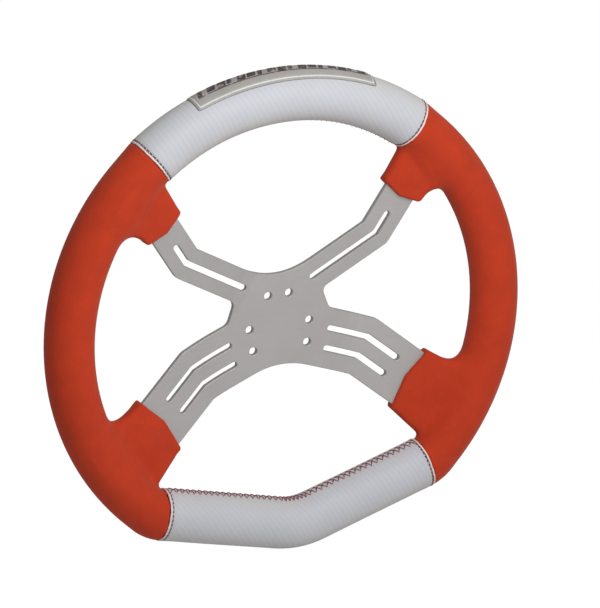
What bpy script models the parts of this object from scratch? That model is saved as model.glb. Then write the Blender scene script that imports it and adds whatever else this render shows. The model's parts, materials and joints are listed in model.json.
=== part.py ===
"""Kart steering wheel: a bent four-spoke aluminium plate welded to a hoop, a moulded foam rim,
four sewn covers and a raised badge. Every size is in metres.

The wheel is laid out on the bench: x to the right, y to the top of the rim, z towards the driver,
with the origin on the steering axis at the hub's rear face. The empty steering_axis then stands it
upright, so that in the finished model +Z is up and the driver is on the -Y side.
Places along the rim are lengths of its centreline, from the bottom vertex, positive to the right.
Angles round its section start at the outer edge, and +90 degrees faces the driver.
"""

import math

import bmesh
import bpy
from mathutils import Matrix, Vector

# Rim centreline
RIM_RADIUS = 0.154
RIM_CENTRE_Y = 0.0042
RIM_DEPTH = 0.018  # from the hub's rear face to the plane of the centreline
VERTEX_Y = -0.1369  # lowest point of the V-shaped bottom
BOTTOM_SLOPE = math.radians(15.2)
VERTEX_BEND = 0.0535
CORNER_BEND = 0.018

# Layers of the rim, as radii of its section
SUEDE_RADIUS = 0.0163
VINYL_RADIUS = 0.0173
SUEDE_THICKNESS = 0.0012
SUEDE_FLARE = 0.001  # the covers thicken by this much at their joints
SUEDE_FLARE_LENGTH = 0.017
VINYL_THICKNESS = 0.0022
HOOP_RADIUS = 0.005
GAP = 0.0003

# Joints between the covers
TOP_JOINT_ANGLE = math.radians(36.8)  # each side of the top, about the rim's centre
BOTTOM_JOINT_LENGTH = 0.0998  # each side of the bottom vertex, along the centreline
PIPING_RADIUS = 0.0007
PIPING_PATH_RADIUS = 0.0166
THREAD_RADIUS = 0.00035
THREAD_GAP = 0.0005
JOINT_THREAD_INSET = 0.0016
CROSS_STITCH_PITCH = 0.0075
CROSS_STITCH_HALF_ANGLE = math.radians(12)
CROSS_STITCH_INSET = 0.006
LACING_ANGLES = {"bottom": math.radians(178), "top": math.radians(192)}
REAR_SEAM_ANGLE = math.radians(-100)

# Spoke plate
PLATE_THICKNESS = 0.004
PLATE_CHAMFER = 0.0004
SLOT_HALF_WIDTH = 0.0021
HOLE_RADIUS = 0.0028
HOLES = ((0.0076, 0.0198), (0.0218, -0.0015), (0.0197, -0.0167))
HUB_TOP_BEND = 0.0475
HUB_BOTTOM_BEND = 0.0525
NOTCH_UPPER_X = 0.0318
NOTCH_UPPER_BEND = 0.005
NOTCH_LOWER_X = 0.0369
NOTCH_LOWER_BEND = 0.007
BEND_HALF_LENGTH = 0.004
UPPER_SPOKES_ABOVE_Y = 0.012

# Each spoke: its axis runs out at one angle to a kink, and on to the hoop at another. A slot is
# (offset from the axis, length inside the kink, length outside it). The plate is folded forward
# across the spoke at fold_start from the steering axis. A pad covers the spoke's outer end: its
# corners and the tip of its chevron are distances past the kink.
UPPER_SPOKE = {
    "kink": Vector((0.0681, 0.0542)),
    "inner_angle": math.radians(31),
    "outer_angle": math.radians(58.3),
    "half_width": 0.0113,
    "edge_bends": (0.0035, 0.009),
    "slots": ((0.0, 0.0502, 0.0145),),
    "fold_start": 0.0358,
    "fold_slope": 0.172,
    "pad_corners": (0.0334, 0.0312),
    "pad_tip": 0.0289,
    "pad_half_width": 0.0152,
    "pad_flares": (math.radians(2.5), math.radians(13)),
}
LOWER_SPOKE = {
    "kink": Vector((0.0606, -0.0265)),
    "inner_angle": math.radians(-20.7),
    "outer_angle": math.radians(-41),
    "half_width": 0.0206,
    "edge_bends": (0.012, 0.005),
    "slots": ((0.00695, 0.029, 0.0253), (-0.00695, 0.0248, 0.022)),
    "fold_start": 0.0536,
    "fold_slope": 0.15,
    "pad_corners": (0.0386, 0.0424),
    "pad_tip": 0.0368,
    "pad_half_width": 0.0234,
    "pad_flares": (math.radians(7), math.radians(6.7)),
}
SPOKES = {"upper": UPPER_SPOKE, "lower": LOWER_SPOKE}
PAD_THICKNESS = 0.010
PAD_EDGE_BEND = 0.0025
WELD_RADIUS = 0.0012
WELD_SHORTENING = 0.003

# Badge
BADGE_HALF_ANGLE = math.radians(22.2)
BADGE_SECTION = (math.radians(-20), math.radians(46))
BADGE_BASE_THICKNESS = 0.0006
BADGE_INLAY_THICKNESS = 0.0004
BADGE_BORDER = 0.0021

# Mesh fineness
RIM_STEP = 0.0155
ARC_STEP = math.radians(6)
FLARE_STEPS = 4
END_STEP = 0.0005
CHORD_ERROR = 0.00004  # between a bend and the straight edges that stand for it
HOLE_POINTS = 16

COLOURS = {  # red, green, blue, roughness, metallic
    "anodised_aluminium": (0.43, 0.42, 0.41, 0.45, 0.9),
    "hoop_aluminium": (0.55, 0.55, 0.56, 0.4, 0.9),
    "moulded_foam": (0.03, 0.03, 0.032, 0.9, 0.0),
    "red_suede": (0.47, 0.045, 0.02, 0.95, 0.0),
    "silver_vinyl": (0.62, 0.63, 0.67, 0.35, 0.2),
    "white_piping": (0.85, 0.72, 0.7, 0.5, 0.0),
    "maroon_thread": (0.13, 0.015, 0.03, 0.7, 0.0),
    "red_thread": (0.42, 0.03, 0.02, 0.7, 0.0),
    "badge_silver": (0.6, 0.6, 0.6, 0.3, 0.3),
    "badge_print": (0.05, 0.05, 0.055, 0.35, 0.0),
}


def clear_scene():
    for obj in list(bpy.data.objects):
        bpy.data.objects.remove(obj, do_unlink=True)


def new_collection(name):
    collection = bpy.data.collections.new(name)
    bpy.context.scene.collection.children.link(collection)
    return collection


def make_material(name):
    red, green, blue, roughness, metallic = COLOURS[name]
    material = bpy.data.materials.new(name)
    material.use_nodes = True
    shader = material.node_tree.nodes["Principled BSDF"]
    shader.inputs["Base Color"].default_value = (red, green, blue, 1)
    shader.inputs["Roughness"].default_value = roughness
    shader.inputs["Metallic"].default_value = metallic
    return material


def direction(angle):
    return Vector((math.cos(angle), math.sin(angle)))


# The rim's centreline


def arc_segment(centre, radius, start, turn):
    """(length, steps, place) of an arc, where place gives the point and the outward normal."""

    def place(length):
        outward = direction(start + length / radius)
        return centre + outward * radius, outward

    return radius * turn, math.ceil(turn / ARC_STEP), place


def line_segment(start, along, length):
    outward = Vector((along.y, -along.x))

    def place(distance):
        return start + along * distance, outward

    return length, 1, place


def right_half_of_rim():
    """The centreline's right half, from the bottom vertex to the top."""
    along = direction(BOTTOM_SLOPE)
    inward = Vector((-along.y, along.x))
    rim_centre = Vector((0, RIM_CENTRE_Y))
    vertex_centre = Vector((0, VERTEX_Y + VERTEX_BEND))
    straight_start = vertex_centre - inward * VERTEX_BEND
    # The corner's centre is CORNER_BEND inside both the straight and the main circle.
    offset = straight_start + inward * CORNER_BEND - rim_centre
    half = offset.dot(along)
    reach = RIM_RADIUS - CORNER_BEND
    straight = -half + math.sqrt(half**2 - offset.length_squared + reach**2)
    corner_centre = straight_start + along * straight + inward * CORNER_BEND
    to_corner = corner_centre - rim_centre
    corner_end = math.atan2(to_corner.y, to_corner.x)
    corner_start = BOTTOM_SLOPE - math.pi / 2
    return (
        arc_segment(vertex_centre, VERTEX_BEND, -math.pi / 2, BOTTOM_SLOPE),
        line_segment(straight_start, along, straight),
        arc_segment(corner_centre, CORNER_BEND, corner_start, corner_end - corner_start),
        arc_segment(rim_centre, RIM_RADIUS, corner_end, math.pi / 2 - corner_end),
    )


RIM_HALF = right_half_of_rim()
HALF_LENGTH = sum(length for length, steps, place in RIM_HALF)
TOP_JOINT_LENGTH = HALF_LENGTH - RIM_RADIUS * TOP_JOINT_ANGLE
VINYL_COVERS = {
    "bottom": (-BOTTOM_JOINT_LENGTH, BOTTOM_JOINT_LENGTH),
    "top": (TOP_JOINT_LENGTH, 2 * HALF_LENGTH - TOP_JOINT_LENGTH),
}


def rim_at(length):
    """The centreline's point and outward normal. A length past the top carries on down the left."""
    if length > HALF_LENGTH:
        length -= 2 * HALF_LENGTH
    side = -1 if length < 0 else 1
    left = abs(length)
    for segment_length, steps, place in RIM_HALF:
        if left <= segment_length:
            break
        left -= segment_length
    point, outward = place(min(left, segment_length))
    return Vector((side * point.x, point.y)), Vector((side * outward.x, outward.y))


def on_section(length, angle, radius):
    """A point of the rim's section at this length, angle round the section and distance."""
    point, outward = rim_at(length)
    flat = point + outward * (radius * math.cos(angle))
    return Vector((flat.x, flat.y, RIM_DEPTH + radius * math.sin(angle)))


def spread(start, end, step):
    count = max(1, round((end - start) / step))
    return [start + (end - start) * i / count for i in range(count + 1)]


def rim_marks():
    """The lengths, from the bottom vertex once round, where a bar along the rim has a point."""
    marks = [0.0]
    for length, steps, place in RIM_HALF:
        start = marks[-1]
        marks += [start + length * (i + 1) / steps for i in range(steps)]
    return marks + [2 * HALF_LENGTH - mark for mark in reversed(marks[1:-1])]


def lengths_between(start, end):
    """The bar's points from start to end. A short step at each end sets the end's face square."""
    marks = [mark - turn for turn in (2 * HALF_LENGTH, 0) for mark in rim_marks()]
    first = start + END_STEP
    last = end - END_STEP
    inside = [mark for mark in marks if first + END_STEP < mark < last - END_STEP]
    return [start, first, *inside, last, end]


def rim_path(start, end):
    return [on_section(length, 0, 0) for length in lengths_between(start, end)]


def whole_rim_path():
    return [on_section(mark, 0, 0) for mark in rim_marks()]


# Solids


def add_object(name, data, material=None, collection=None):
    obj = bpy.data.objects.new(name, data)
    (collection or parts).objects.link(obj)
    obj.parent = steering_axis
    if collection is cutters:
        obj.hide_render = True
        obj.display_type = "WIRE"
    if material:
        data.materials.append(materials[material])
    return obj


def mesh_of(obj):
    """The object's evaluated mesh, welded."""
    bpy.context.view_layer.update()
    evaluated = obj.evaluated_get(bpy.context.evaluated_depsgraph_get())
    mesh = bpy.data.meshes.new_from_object(evaluated)
    mesh.materials.clear()
    edit = bmesh.new()
    edit.from_mesh(mesh)
    bmesh.ops.remove_doubles(edit, verts=edit.verts, dist=1e-6)
    bmesh.ops.recalc_face_normals(edit, faces=edit.faces)
    edit.to_mesh(mesh)
    edit.free()
    return mesh


def solid_from_curve(name, curve, material, collection):
    guide = add_object(name + "_guide", curve, collection=cutters)
    mesh = mesh_of(guide)
    bpy.data.objects.remove(guide)
    bpy.data.curves.remove(curve)
    return add_object(name, mesh, material, collection)


def tube(name, points, radius, material=None, fineness=4, cyclic=False, collection=None,
         swellings=()):
    """A round bar along the points, flat at its ends. It has 4 + 2 x fineness sides.

    Swellings, if any, are what to add to its radius at each point.
    """
    curve = bpy.data.curves.new(name, "CURVE")
    curve.dimensions = "3D"
    curve.bevel_depth = radius
    curve.bevel_resolution = fineness
    curve.use_fill_caps = not cyclic
    spline = curve.splines.new("POLY")
    spline.points.add(len(points) - 1)
    spline.use_cyclic_u = cyclic
    for target, point in zip(spline.points, points):
        target.co = (*point, 1)
    for target, swelling in zip(spline.points, swellings):
        target.radius = 1 + swelling / radius
    return solid_from_curve(name, curve, material, collection)


def sheet(name, outlines, thickness, chamfer=0.0, material=None, collection=None):
    """A flat plate centred on z = 0: the first outline is its edge and the others are holes."""
    curve = bpy.data.curves.new(name, "CURVE")
    curve.dimensions = "2D"
    curve.fill_mode = "BOTH"
    curve.extrude = thickness / 2 - chamfer
    curve.bevel_depth = chamfer
    curve.bevel_resolution = 0
    curve.offset = -chamfer
    for outline in outlines:
        spline = curve.splines.new("POLY")
        spline.points.add(len(outline) - 1)
        spline.use_cyclic_u = True
        for target, point in zip(spline.points, outline):
            target.co = (point.x, point.y, 0, 1)
    return solid_from_curve(name, curve, material, collection)


def boolean(target, other, operation="DIFFERENCE"):
    modifier = target.modifiers.new(other.name, "BOOLEAN")
    modifier.operation = operation
    modifier.object = other


def mirrored(obj, name, material=None, collection=None):
    """A copy of the object on the other side of the wheel."""
    mesh = mesh_of(obj)
    mesh.transform(Matrix.Scale(-1, 4, Vector((1, 0, 0))))
    mesh.flip_normals()
    return add_object(name, mesh, material, collection)


def shade(obj, angle=math.radians(35)):
    obj.data.shade_smooth()
    obj.data.set_sharp_from_angle(angle=angle)


def both_sides(make, name, material):
    """The right-hand piece that make builds, and its mirror image."""
    right = make(name + "_right", material)
    shade(mirrored(right, name + "_left", material))
    shade(right)


# Outlines in the plane of the hub


def rounded(corners):
    """A polygon's outline, from (point, bend radius) corners."""
    outline = []
    for i, (corner, bend) in enumerate(corners):
        before = (corners[i - 1][0] - corner).normalized()
        after = (corners[(i + 1) % len(corners)][0] - corner).normalized()
        half = before.angle(after) / 2
        if not bend or half > math.radians(89):
            outline.append(corner)
            continue
        centre = corner + (before + after).normalized() * (bend / math.sin(half))
        start = corner + before * (bend / math.tan(half)) - centre
        end = corner + after * (bend / math.tan(half)) - centre
        turn = start.angle_signed(end)
        points = max(3, math.ceil(abs(turn) / (2 * math.acos(1 - CHORD_ERROR / bend))) + 1)
        for j in range(points):
            swing = Matrix.Rotation(-turn * j / (points - 1), 2)
            outline.append(centre + swing @ start)
    return outline


def sideways(angle):
    return direction(angle + math.pi / 2)


def beside_kink(spoke, offset):
    """Where the lines at this offset from both parts of the spoke's axis meet."""
    turn = (spoke["outer_angle"] - spoke["inner_angle"]) / 2
    middle = (spoke["outer_angle"] + spoke["inner_angle"]) / 2
    return spoke["kink"] + sideways(middle) * (offset / math.cos(turn))


def edge_at_x(spoke, offset, x):
    """The point at x on the edge of the spoke's inner part."""
    corner = beside_kink(spoke, offset)
    return Vector((x, corner.y + (x - corner.x) * math.tan(spoke["inner_angle"])))


def reach_of_edge(spoke, offset, radius):
    """How far past the kink this edge of the spoke meets a circle about the rim's centre."""
    start = beside_kink(spoke, offset) - Vector((0, RIM_CENTRE_Y))
    half = start.dot(direction(spoke["outer_angle"]))
    return -half + math.sqrt(half**2 - start.length_squared + radius**2)


def tip_corner(spoke, offset, radius):
    along = direction(spoke["outer_angle"])
    return beside_kink(spoke, offset) + along * reach_of_edge(spoke, offset, radius)


def tip_arc(spoke, half_width, radius, count=5):
    """The spoke's end, which follows the hoop, from its upper corner to its lower one."""
    rim_centre = Vector((0, RIM_CENTRE_Y))
    ends = [tip_corner(spoke, side * half_width, radius) - rim_centre for side in (1, -1)]
    angles = [math.atan2(end.y, end.x) for end in ends]
    steps = [i / (count - 1) for i in range(count)]
    turns = [angles[0] + (angles[1] - angles[0]) * step for step in steps]
    return [(rim_centre + direction(turn) * radius, 0) for turn in turns]


def plate_outline(margin, reach):
    """The plate's edge moved outwards by margin, with its spokes running out to the radius reach."""
    right = []
    for spoke in (UPPER_SPOKE, LOWER_SPOKE):
        width = spoke["half_width"] + margin
        upper_bend, lower_bend = spoke["edge_bends"]
        right.append((beside_kink(spoke, width), upper_bend))
        right += tip_arc(spoke, width, reach)
        right.append((beside_kink(spoke, -width), lower_bend))
        if spoke is UPPER_SPOKE:
            right.append((edge_at_x(spoke, -width, NOTCH_UPPER_X + margin), NOTCH_UPPER_BEND))
            lower_edge = LOWER_SPOKE["half_width"] + margin
            notch_end = edge_at_x(LOWER_SPOKE, lower_edge, NOTCH_LOWER_X + margin)
            right.append((notch_end, NOTCH_LOWER_BEND))
    top = (edge_at_x(UPPER_SPOKE, UPPER_SPOKE["half_width"] + margin, 0), HUB_TOP_BEND)
    bottom = (edge_at_x(LOWER_SPOKE, -LOWER_SPOKE["half_width"] - margin, 0), HUB_BOTTOM_BEND)
    left = [(Vector((-corner.x, corner.y)), bend) for corner, bend in reversed(right)]
    return rounded([top, *right, bottom, *left])


def slot_outline(spoke, offset, inner_length, outer_length):
    """A slot with round ends that follows the spoke round its kink."""
    sides = []
    for side in (1, -1):
        edge = beside_kink(spoke, offset + side * SLOT_HALF_WIDTH)
        inner = edge - direction(spoke["inner_angle"]) * (inner_length + SLOT_HALF_WIDTH)
        outer = edge + direction(spoke["outer_angle"]) * (outer_length + SLOT_HALF_WIDTH)
        bend = 0.99 * SLOT_HALF_WIDTH
        sides.append([(inner, bend), (edge, SLOT_HALF_WIDTH), (outer, bend)])
    return rounded(sides[0] + sides[1][::-1])


def hole_outline(x, y):
    turns = [2 * math.pi * i / HOLE_POINTS for i in range(HOLE_POINTS)]
    return [Vector((x, y)) + direction(turn) * HOLE_RADIUS for turn in turns]


def plate_openings():
    right = [hole_outline(x, y) for x, y in HOLES]
    for spoke in (UPPER_SPOKE, LOWER_SPOKE):
        right += [slot_outline(spoke, *slot) for slot in spoke["slots"]]
    left = [[Vector((-point.x, point.y)) for point in outline] for outline in right]
    return right + left


# Folding the plate, and what follows it


def spoke_rise(point):
    """How far the folded plate stands forward of the hub here."""
    spoke = UPPER_SPOKE if point.y > UPPER_SPOKES_ABOVE_Y else LOWER_SPOKE
    along = Vector((abs(point.x), point.y)).dot(direction(spoke["inner_angle"]))
    past = along - spoke["fold_start"]
    if past > BEND_HALF_LENGTH:
        return spoke["fold_slope"] * past
    return spoke["fold_slope"] * max(0.0, past + BEND_HALF_LENGTH) / 2


def fold(obj):
    """Cuts the flat plate across each fold, then sets it on the bench with its spokes folded."""
    edit = bmesh.new()
    edit.from_mesh(obj.data)
    for spoke in SPOKES.values():
        for side in (1, -1):
            along = direction(spoke["inner_angle"])
            normal = Vector((side * along.x, along.y, 0))
            for shift in (-BEND_HALF_LENGTH, BEND_HALF_LENGTH):
                everything = edit.verts[:] + edit.edges[:] + edit.faces[:]
                place = normal * (spoke["fold_start"] + shift)
                bmesh.ops.bisect_plane(edit, geom=everything, plane_co=place, plane_no=normal)
    bmesh.ops.triangulate(edit, faces=edit.faces)
    for vertex in edit.verts:
        vertex.co.z += PLATE_THICKNESS / 2 + spoke_rise(vertex.co)
    edit.to_mesh(obj.data)
    edit.free()


def make_spoke_plate():
    outlines = [plate_outline(0, RIM_RADIUS - HOOP_RADIUS - GAP), *plate_openings()]
    plate = sheet("spoke_plate", outlines, PLATE_THICKNESS, PLATE_CHAMFER, "anodised_aluminium")
    fold(plate)
    shade(plate, math.radians(20))


def make_plate_clearance():
    """The space round the plate, as far as the hoop, that the foam and the covers keep free."""
    outline = plate_outline(GAP, RIM_RADIUS)
    cutter = sheet("plate_clearance", [outline], PLATE_THICKNESS + 2 * GAP, collection=cutters)
    fold(cutter)
    return cutter


def make_pad(name, spoke, inset):
    """The block from the rim's centreline round a spoke's outer end, with a chevron end."""
    along = direction(spoke["outer_angle"])
    reach = reach_of_edge(spoke, 0, RIM_RADIUS)
    across = sideways(spoke["outer_angle"])
    half_width = spoke["pad_half_width"] - inset
    corners = [(spoke["kink"] + along * (spoke["pad_tip"] + inset), 0)]
    for side, start, flare in zip((1, -1), spoke["pad_corners"], spoke["pad_flares"]):
        near = spoke["kink"] + along * (start + inset) + across * (side * half_width)
        far = near + direction(spoke["outer_angle"] + side * flare) * (reach - start)
        edge = [(near, PAD_EDGE_BEND), (far, 0)]
        corners = corners + edge if side > 0 else edge[::-1] + corners
    chamfer = max(0.0002, PAD_EDGE_BEND - inset)
    thickness = PAD_THICKNESS - 2 * inset
    pad = sheet(name, [rounded(corners)], thickness, chamfer, collection=cutters)
    for vertex in pad.data.vertices:
        vertex.co.z += PLATE_THICKNESS / 2 + spoke_rise(vertex.co)
    return pad


def padded_rim(name, path, radius, inset, cyclic=False, material=None, collection=None,
               swellings=()):
    """A bar along the rim joined to the pads on the right, or on both sides of a whole ring."""
    rim = tube(name, path, radius, material, cyclic=cyclic, collection=collection,
               swellings=swellings)
    for level, spoke in SPOKES.items():
        pad = make_pad(f"{name}_{level}_pad", spoke, inset)
        boolean(rim, pad, "UNION")
        if cyclic:
            boolean(rim, mirrored(pad, pad.name + "_left", collection=cutters), "UNION")
    return rim


def make_hoop():
    shade(tube("rim_hoop", whole_rim_path(), HOOP_RADIUS, "hoop_aluminium", 2, cyclic=True))


def weld_path(spoke):
    """Along the front corner between the spoke's end and the hoop."""
    reach = RIM_RADIUS - HOOP_RADIUS - WELD_RADIUS
    half_width = spoke["half_width"] - WELD_SHORTENING
    ends = [point for point, bend in tip_arc(spoke, half_width, reach)]
    height = PLATE_THICKNESS + GAP + WELD_RADIUS
    return [Vector((point.x, point.y, height + spoke_rise(point))) for point in ends]


def make_weld(level):
    def make(name, material):
        return tube(name, weld_path(SPOKES[level]), WELD_RADIUS, material, 1)

    both_sides(make, f"weld_bead_{level}", "hoop_aluminium")


def make_foam(plate_clearance):
    inset = SUEDE_THICKNESS + GAP
    path = whole_rim_path()
    foam = padded_rim("foam_rim", path, SUEDE_RADIUS - inset, inset, True, "moulded_foam")
    channel = tube("hoop_channel", path, HOOP_RADIUS + GAP, fineness=2, cyclic=True,
                   collection=cutters)
    boolean(foam, channel)
    boolean(foam, plate_clearance)
    for level, spoke in SPOKES.items():
        name = f"weld_{level}_clearance"
        radius = WELD_RADIUS + 2 * GAP
        clearance = tube(name, weld_path(spoke), radius, fineness=2, collection=cutters)
        boolean(foam, clearance)
        boolean(foam, mirrored(clearance, name + "_left", collection=cutters))
    shade(foam)


def flare(distance):
    """How much thicker a suede cover is at this distance from its end."""
    share = max(0.0, 1 - distance / SUEDE_FLARE_LENGTH)
    return SUEDE_FLARE * share**2


def make_suede_covers(plate_clearance):
    half_joint = PIPING_RADIUS + GAP
    start = BOTTOM_JOINT_LENGTH + half_joint
    end = TOP_JOINT_LENGTH - half_joint
    shares = [(i + 1) / FLARE_STEPS for i in range(FLARE_STEPS)]
    flared = [SUEDE_FLARE_LENGTH * share for share in shares]
    middle = lengths_between(start + flared[-1], end - flared[-1])[2:-2]
    lengths = [start, start + END_STEP, *[start + mark for mark in flared], *middle,
               *[end - mark for mark in reversed(flared)], end - END_STEP, end]
    path = [on_section(length, 0, 0) for length in lengths]
    swellings = [flare(min(length - start, end - length)) for length in lengths]

    def make(name, material):
        cover = padded_rim(name, path, SUEDE_RADIUS, 0, material=material, swellings=swellings)
        inside = padded_rim("suede_inside", rim_path(start - RIM_STEP, end + RIM_STEP),
                            SUEDE_RADIUS - SUEDE_THICKNESS, SUEDE_THICKNESS, collection=cutters)
        boolean(cover, inside)
        boolean(cover, plate_clearance)
        return cover

    both_sides(make, "suede_cover", "red_suede")


def make_vinyl_cover(name, start, end):
    half_joint = PIPING_RADIUS + GAP
    inner_radius = VINYL_RADIUS - VINYL_THICKNESS
    cover = tube(name, rim_path(start + half_joint, end - half_joint), VINYL_RADIUS, "silver_vinyl")
    inside = tube(name + "_inside", rim_path(start, end), inner_radius, collection=cutters)
    boolean(cover, inside)
    shade(cover)


def ring(name, length, radius, thickness, material, count=24, fineness=1):
    """A cord round the rim's section."""
    turns = [2 * math.pi * i / count for i in range(count)]
    points = [on_section(length, turn, radius) for turn in turns]
    return tube(name, points, thickness, material, fineness, cyclic=True)


def make_joint(level, length, vinyl_side):
    """The piping between two covers, and the thread that holds it on the vinyl's side."""

    def piping(name, material):
        return ring(name, length, PIPING_PATH_RADIUS, PIPING_RADIUS, material)

    def thread(name, material):
        place = length + vinyl_side * JOINT_THREAD_INSET
        radius = VINYL_RADIUS + THREAD_GAP + THREAD_RADIUS
        return ring(name, place, radius, THREAD_RADIUS, material, fineness=0)

    both_sides(piping, f"piping_{level}", "white_piping")
    both_sides(thread, f"joint_thread_{level}", "maroon_thread")


def make_cross_stitch(name, start, end, seam_angle):
    """The thread that laces a vinyl cover shut along the inside of the rim."""
    start += CROSS_STITCH_INSET
    end -= CROSS_STITCH_INSET
    radius = VINYL_RADIUS + THREAD_GAP + THREAD_RADIUS
    crossings = 4 * round((end - start) / CROSS_STITCH_PITCH)
    swings = (-1, 0, 1, 0)
    points = []
    for i in range(crossings + 1):
        length = start + (end - start) * i / crossings
        angle = seam_angle + swings[i % 4] * CROSS_STITCH_HALF_ANGLE
        points.append(on_section(length, angle, radius))
    shade(tube(name, points, THREAD_RADIUS, "maroon_thread", 0))


def make_rear_seams():
    """The thread that closes each suede cover along the back of the rim."""
    start = BOTTOM_JOINT_LENGTH + CROSS_STITCH_INSET
    end = TOP_JOINT_LENGTH - CROSS_STITCH_INSET
    radius = SUEDE_RADIUS + THREAD_GAP + THREAD_RADIUS

    def make(name, material):
        lengths = spread(start, end, RIM_STEP / 2)
        points = [on_section(length, REAR_SEAM_ANGLE, radius) for length in lengths]
        return tube(name, points, THREAD_RADIUS, material, 0)

    both_sides(make, "rear_seam_thread", "red_thread")


def badge_layer(name, inset, radius, thickness, material):
    """A sheet wrapped over the top of the rim, thickened outwards."""
    half_length = BADGE_HALF_ANGLE * RIM_RADIUS - inset
    low, high = (edge + inset / radius * turn for edge, turn in zip(BADGE_SECTION, (1, -1)))
    lengths = spread(HALF_LENGTH - half_length, HALF_LENGTH + half_length, RIM_STEP / 2)
    angles = spread(low, high, math.radians(10))
    edit = bmesh.new()
    rows = [
        [edit.verts.new(on_section(length, angle, radius)) for angle in angles]
        for length in lengths
    ]
    for row, following in zip(rows, rows[1:]):
        for i in range(len(angles) - 1):
            edit.faces.new((row[i], row[i + 1], following[i + 1], following[i]))
    bmesh.ops.recalc_face_normals(edit, faces=edit.faces)
    middle = rows[len(rows) // 2][len(angles) // 2]
    if middle.normal.y < 0:
        bmesh.ops.reverse_faces(edit, faces=edit.faces)
    mesh = bpy.data.meshes.new(name)
    edit.to_mesh(mesh)
    edit.free()
    layer = add_object(name, mesh, material)
    shell = layer.modifiers.new("thickness", "SOLIDIFY")
    shell.thickness = thickness
    shell.offset = 1
    shade(layer)


def make_badge():
    base_radius = VINYL_RADIUS + GAP
    inlay_radius = base_radius + BADGE_BASE_THICKNESS + GAP
    badge_layer("badge_base", 0, base_radius, BADGE_BASE_THICKNESS, "badge_silver")
    badge_layer("badge_inlay", BADGE_BORDER, inlay_radius, BADGE_INLAY_THICKNESS, "badge_print")


clear_scene()
parts = new_collection("kart_steering_wheel")
cutters = new_collection("cutters")
materials = {name: make_material(name) for name in COLOURS}
steering_axis = bpy.data.objects.new("steering_axis", None)
steering_axis.rotation_euler.x = math.pi / 2
parts.objects.link(steering_axis)

make_spoke_plate()
clearance = make_plate_clearance()
make_hoop()
make_foam(clearance)
make_suede_covers(clearance)
for place, (cover_start, cover_end) in VINYL_COVERS.items():
    make_vinyl_cover("vinyl_cover_" + place, cover_start, cover_end)
    make_cross_stitch("cross_stitch_" + place, cover_start, cover_end, LACING_ANGLES[place])
make_joint("upper", TOP_JOINT_LENGTH, 1)
make_joint("lower", BOTTOM_JOINT_LENGTH, -1)
make_rear_seams()
for spoke_level in SPOKES:
    make_weld(spoke_level)
make_badge()
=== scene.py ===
"""The finished look of the kart steering wheel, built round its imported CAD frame.

World axes: +Z to the top of the rim, +X to the driver's right, -Y towards the driver, in metres.
A place on the rim is (length, angle, radius): the length of the centreline from the bottom vertex,
positive to the right; the angle round the section, 0 at the outer edge, +90 degrees at the driver
and 180 at the inner edge; and the distance from the centreline.
"""

import json
import math

import bmesh
import bpy
import numpy as np
from mathutils import Matrix, Vector

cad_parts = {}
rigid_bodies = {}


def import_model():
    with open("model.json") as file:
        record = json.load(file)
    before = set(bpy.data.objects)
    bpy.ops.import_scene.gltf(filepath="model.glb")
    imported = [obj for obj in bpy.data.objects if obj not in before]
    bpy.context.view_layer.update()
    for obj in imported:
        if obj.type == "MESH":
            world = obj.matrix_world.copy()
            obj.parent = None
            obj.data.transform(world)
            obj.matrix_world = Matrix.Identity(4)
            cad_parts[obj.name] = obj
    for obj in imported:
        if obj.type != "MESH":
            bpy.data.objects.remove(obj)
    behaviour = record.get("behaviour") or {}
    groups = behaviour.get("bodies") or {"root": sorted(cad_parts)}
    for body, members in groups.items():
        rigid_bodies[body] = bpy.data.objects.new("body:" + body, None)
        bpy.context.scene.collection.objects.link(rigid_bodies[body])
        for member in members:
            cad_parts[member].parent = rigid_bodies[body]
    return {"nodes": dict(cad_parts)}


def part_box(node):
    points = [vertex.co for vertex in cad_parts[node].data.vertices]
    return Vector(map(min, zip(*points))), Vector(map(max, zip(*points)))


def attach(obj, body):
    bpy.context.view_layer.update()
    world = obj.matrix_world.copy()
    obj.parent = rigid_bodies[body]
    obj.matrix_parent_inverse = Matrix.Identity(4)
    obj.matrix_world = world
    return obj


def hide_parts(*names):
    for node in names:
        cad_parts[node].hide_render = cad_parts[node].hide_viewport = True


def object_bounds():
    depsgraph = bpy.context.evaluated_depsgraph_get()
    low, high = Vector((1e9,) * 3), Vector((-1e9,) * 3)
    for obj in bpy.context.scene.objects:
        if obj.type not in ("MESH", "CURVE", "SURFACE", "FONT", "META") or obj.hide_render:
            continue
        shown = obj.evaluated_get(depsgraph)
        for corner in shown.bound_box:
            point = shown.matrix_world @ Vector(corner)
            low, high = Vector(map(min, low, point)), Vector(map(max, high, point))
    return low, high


for startup_object in list(bpy.data.objects):
    bpy.data.objects.remove(startup_object)
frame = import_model()
CAD_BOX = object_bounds()


def middle_and_half(node):
    low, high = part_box(node)
    return (low + high) / 2, (high - low) / 2


# The rim, measured from the frame
HOOP_MIDDLE, HOOP_HALF = middle_and_half("rim_hoop")
HOOP_RADIUS = HOOP_HALF.y
RIM_Y = HOOP_MIDDLE.y
RIM_RADIUS = HOOP_HALF.x - HOOP_RADIUS
RIM_CENTRE = np.array((0, HOOP_MIDDLE.z + HOOP_HALF.z - HOOP_RADIUS - RIM_RADIUS))
VERTEX_Z = HOOP_MIDDLE.z - HOOP_HALF.z + HOOP_RADIUS
SUEDE_RADIUS = middle_and_half("foam_rim")[1].y + 0.0015
VINYL_RADIUS = middle_and_half("vinyl_cover_top")[1].y
TOP_JOINT = middle_and_half("piping_upper_right")[0]
BOTTOM_JOINT = middle_and_half("piping_lower_right")[0]
PLATE_THICKNESS = 0.004

# Bends of the rim's centreline at the bottom vertex and at the corners beside it
VERTEX_BEND = 0.0535
CORNER_BEND = 0.018

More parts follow.
